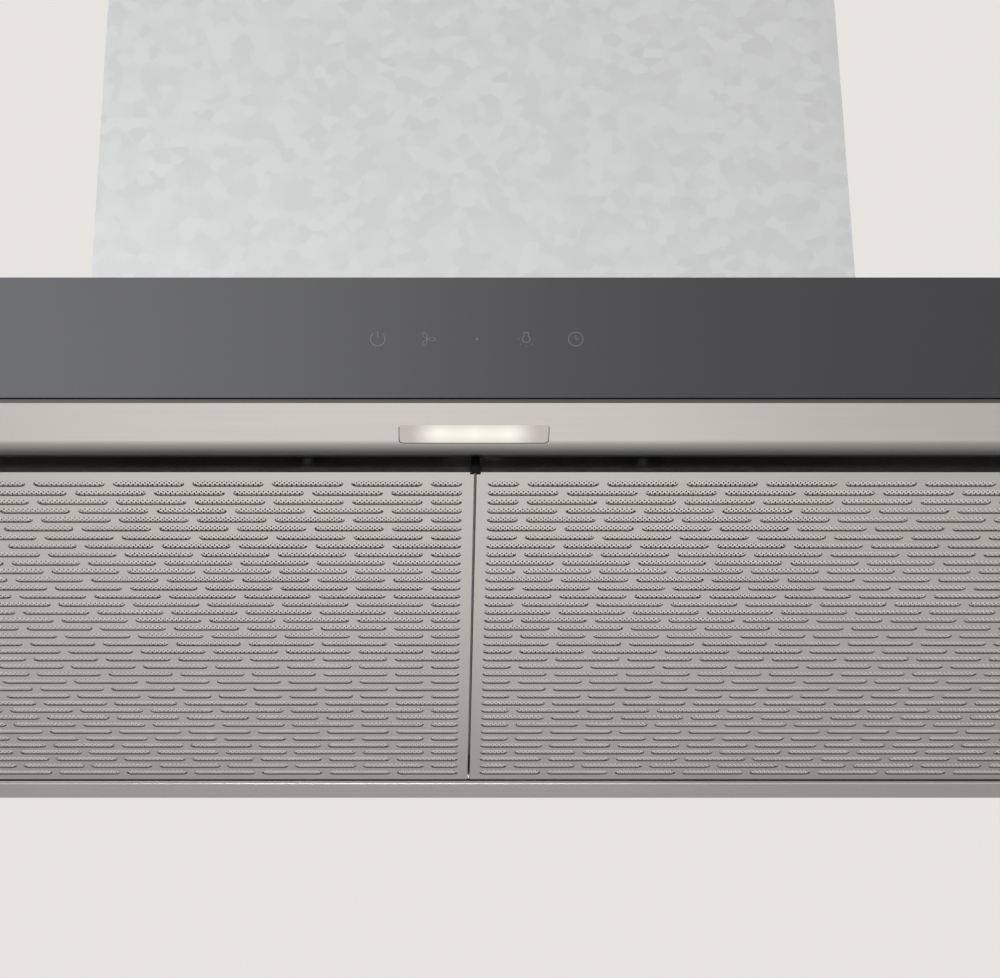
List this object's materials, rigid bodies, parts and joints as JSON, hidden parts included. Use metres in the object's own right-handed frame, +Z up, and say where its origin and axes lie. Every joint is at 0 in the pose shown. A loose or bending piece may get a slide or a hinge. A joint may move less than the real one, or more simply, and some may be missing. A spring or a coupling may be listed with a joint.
{
  "type": "built-in range hood",
  "caption": "Wide built-in range hood with a leaning dark glass control fascia, lit front strip, hinged slotted steel filter panels and a blower box with a damped duct collar.",
  "frame": {"origin": "middle of the underside plane, at half of the whole depth, bottom centre of the whole part", "axes": "+X to the right seen from the front, +Y to the wall behind, +Z up to the duct collar"},
  "size_m": [0.898, 0.4428, 0.405],
  "materials": {
    "brushed_steel": "brushed stainless steel",
    "filter_steel": "fine brushed stainless steel, pressed",
    "filter_mesh": "expanded aluminium mesh",
    "filter_frame": "plain rolled aluminium",
    "fascia_glass": "toughened, back painted dark grey",
    "galvanised": "galvanised sheet, zinc spangle",
    "black_plastic": "fine grained moulding",
    "grey_plastic": "moulded polypropylene",
    "lamp_lens": "frosted diffuser, lit",
    "touch_symbols": "pale grey print and light guide",
    "rubber": "moulded rubber",
    "circuit_board": "solder-masked board",
    "light_board": "white solder-masked board",
    "machined_steel": "ground steel",
    "motor_zinc": "zinc-plated pressing",
    "wheel_plastic": "glass-filled moulding",
    "capacitor_white": "plain plastic can"
  },
  "bodies": {
    "casing": {"front_strip": "brushed_steel", "left_side_strip": "brushed_steel", "right_side_strip": "brushed_steel", "rear_strip": "brushed_steel", "casing_wrap": "galvanised", "left_casing_end": "galvanised", "right_casing_end": "galvanised", "fascia_glass": "fascia_glass", "fascia_carrier": "black_plastic", "fascia_end_caps": "black_plastic", "touch_board": "circuit_board", "status_light": "touch_symbols", "lamp_lens": "lamp_lens", "lamp_housing": "black_plastic", "light_board": "light_board", "centre_rail": "galvanised", "centre_stop": "rubber", "hinge_brackets": "galvanised", "hinge_pins": "machined_steel", "catch_housings": "black_plastic", "blower_box": "galvanised", "blower_box_top": "galvanised", "scroll_left_half": "grey_plastic", "scroll_right_half": "grey_plastic", "inlet_rings": "grey_plastic", "motor_can": "motor_zinc", "motor_bracket": "motor_zinc", "motor_rubbers": "rubber", "duct_collar": "black_plastic", "damper_pin": "machined_steel", "control_box": "galvanised", "control_box_lid": "galvanised", "control_board": "circuit_board", "motor_capacitor": "capacitor_white", "cable_gland": "black_plastic", "casing_screws": "machined_steel", "box_screws": "machined_steel", "collar_screws": "machined_steel", "catch_spring_1": "machined_steel", "catch_spring_2": "machined_steel", "catch_spring_3": "machined_steel", "catch_spring_4": "machined_steel"},
    "left_filter": {"left_filter_face": "filter_steel", "left_filter_mesh": "filter_mesh", "left_filter_frame": "filter_frame", "left_filter_back": "filter_frame"},
    "right_filter": {"right_filter_face": "filter_steel", "right_filter_mesh": "filter_mesh", "right_filter_frame": "filter_frame", "right_filter_back": "filter_frame"},
    "wheel": {"motor_shaft": "machined_steel", "impeller": "wheel_plastic"},
    "front_flap": {"front_damper_flap": "grey_plastic"},
    "rear_flap": {"rear_damper_flap": "grey_plastic"},
    "catch_1": {"catch_plunger_1": "grey_plastic"},
    "catch_2": {"catch_plunger_2": "grey_plastic"},
    "catch_3": {"catch_plunger_3": "grey_plastic"},
    "catch_4": {"catch_plunger_4": "grey_plastic"}
  },
  "joints": [
    {"name": "left_filter_hinge", "type": "hinge", "parent": "casing", "child": "left_filter", "pos_m": [-0.21315, 0.198, 0.004], "axis": [1, 0, 0], "range_deg": [0, 75]},
    {"name": "right_filter_hinge", "type": "hinge", "parent": "casing", "child": "right_filter", "pos_m": [0.21315, 0.198, 0.004], "axis": [1, 0, 0], "range_deg": [0, 75]},
    {"name": "fan_spin", "type": "hinge", "parent": "casing", "child": "wheel", "pos_m": [0, 0.0084, 0.196], "axis": [1, 0, 0], "continuous": true},
    {"name": "front_flap_hinge", "type": "hinge", "parent": "casing", "child": "front_flap", "pos_m": [0, 0.0819, 0.354], "axis": [-1, 0, 0], "range_deg": [0, 75]},
    {"name": "rear_flap_hinge", "type": "hinge", "parent": "casing", "child": "rear_flap", "pos_m": [0, 0.0819, 0.354], "axis": [1, 0, 0], "range_deg": [0, 75]},
    {"name": "catch_1_slide", "type": "slide", "parent": "casing", "child": "catch_1", "axis": [0, -1, 0], "range_m": [0, 0.0028], "stiffness_N_per_m": 250, "springref_m": -0.004, "deforming": ["catch_spring_1"]},
    {"name": "catch_2_slide", "type": "slide", "parent": "casing", "child": "catch_2", "axis": [0, -1, 0], "range_m": [0, 0.0028], "stiffness_N_per_m": 250, "springref_m": -0.004, "deforming": ["catch_spring_2"]},
    {"name": "catch_3_slide", "type": "slide", "parent": "casing", "child": "catch_3", "axis": [0, -1, 0], "range_m": [0, 0.0028], "stiffness_N_per_m": 250, "springref_m": -0.004, "deforming": ["catch_spring_3"]},
    {"name": "catch_4_slide", "type": "slide", "parent": "casing", "child": "catch_4", "axis": [0, -1, 0], "range_m": [0, 0.0028], "stiffness_N_per_m": 250, "springref_m": -0.004, "deforming": ["catch_spring_4"]}
  ]
}
